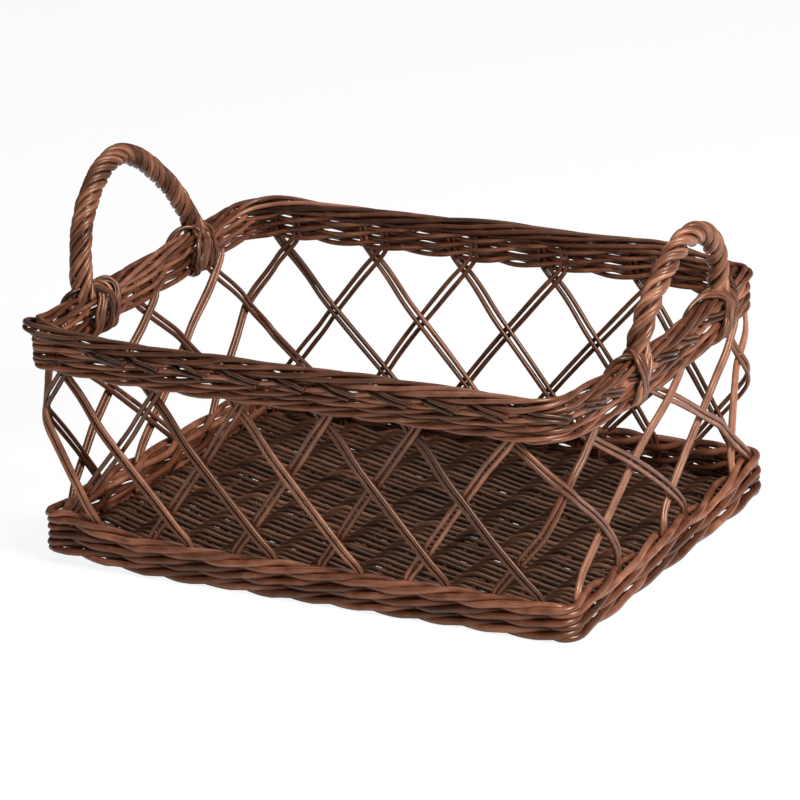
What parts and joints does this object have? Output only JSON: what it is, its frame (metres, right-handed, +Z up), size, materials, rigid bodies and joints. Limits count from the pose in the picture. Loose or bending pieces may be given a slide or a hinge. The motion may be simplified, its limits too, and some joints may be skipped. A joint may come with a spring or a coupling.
{
  "type": "serving basket",
  "caption": "Rectangular woven willow serving basket with a close flat base, open crossed-stake sides, a rolled rim and roped arch handles on the short ends.",
  "frame": {"origin": "on the ground under the middle of the overall box, handles included", "axes": "+X along the long side towards the handle that leans out more, +Y towards the back wall, +Z up"},
  "size_m": [0.4178, 0.286, 0.2508],
  "materials": {
    "stakes": "stained and varnished peeled willow, satin",
    "wale": "stained and varnished peeled willow, satin",
    "border": "stained and varnished peeled willow, satin",
    "base": "stained and varnished peeled willow, satin",
    "handle": "stained and varnished peeled willow, satin"
  },
  "bodies": {
    "root": {"front_stakes_rising_right_1": "stakes", "front_stakes_rising_left_1": "stakes", "front_stakes_rising_right_2": "stakes", "front_stakes_rising_left_2": "stakes", "front_stakes_rising_right_3": "stakes", "front_stakes_rising_left_3": "stakes", "front_stakes_rising_right_4": "stakes", "front_stakes_rising_left_4": "stakes", "front_stakes_rising_right_5": "stakes", "front_stakes_rising_left_5": "stakes", "front_stakes_rising_right_6": "stakes", "front_stakes_rising_left_6": "stakes", "right_stakes_rising_right_1": "stakes", "right_stakes_rising_left_1": "stakes", "right_stakes_rising_right_2": "stakes", "right_stakes_rising_left_2": "stakes", "right_stakes_rising_right_3": "stakes", "right_stakes_rising_left_3": "stakes", "back_stakes_rising_right_1": "stakes", "back_stakes_rising_left_1": "stakes", "back_stakes_rising_right_2": "stakes", "back_stakes_rising_left_2": "stakes", "back_stakes_rising_right_3": "stakes", "back_stakes_rising_left_3": "stakes", "back_stakes_rising_right_4": "stakes", "back_stakes_rising_left_4": "stakes", "back_stakes_rising_right_5": "stakes", "back_stakes_rising_left_5": "stakes", "back_stakes_rising_right_6": "stakes", "back_stakes_rising_left_6": "stakes", "left_stakes_rising_right_1": "stakes", "left_stakes_rising_left_1": "stakes", "left_stakes_rising_right_2": "stakes", "left_stakes_rising_left_2": "stakes", "left_stakes_rising_right_3": "stakes", "left_stakes_rising_left_3": "stakes", "foot_wale_round_1": "wale", "foot_wale_round_2": "wale", "foot_wale_round_3": "wale", "rim_wale_round_1": "wale", "rim_wale_round_2": "wale", "border_strand_1": "border", "border_strand_2": "border", "base_mat": "base", "base_stick_01": "base", "base_stick_02": "base", "base_stick_03": "base", "base_stick_04": "base", "base_stick_05": "base", "base_stick_06": "base", "base_stick_07": "base", "base_stick_08": "base", "base_stick_09": "base", "base_stick_10": "base", "base_stick_11": "base", "left_handle": "handle", "right_handle": "handle"}
  },
  "joints": []
}
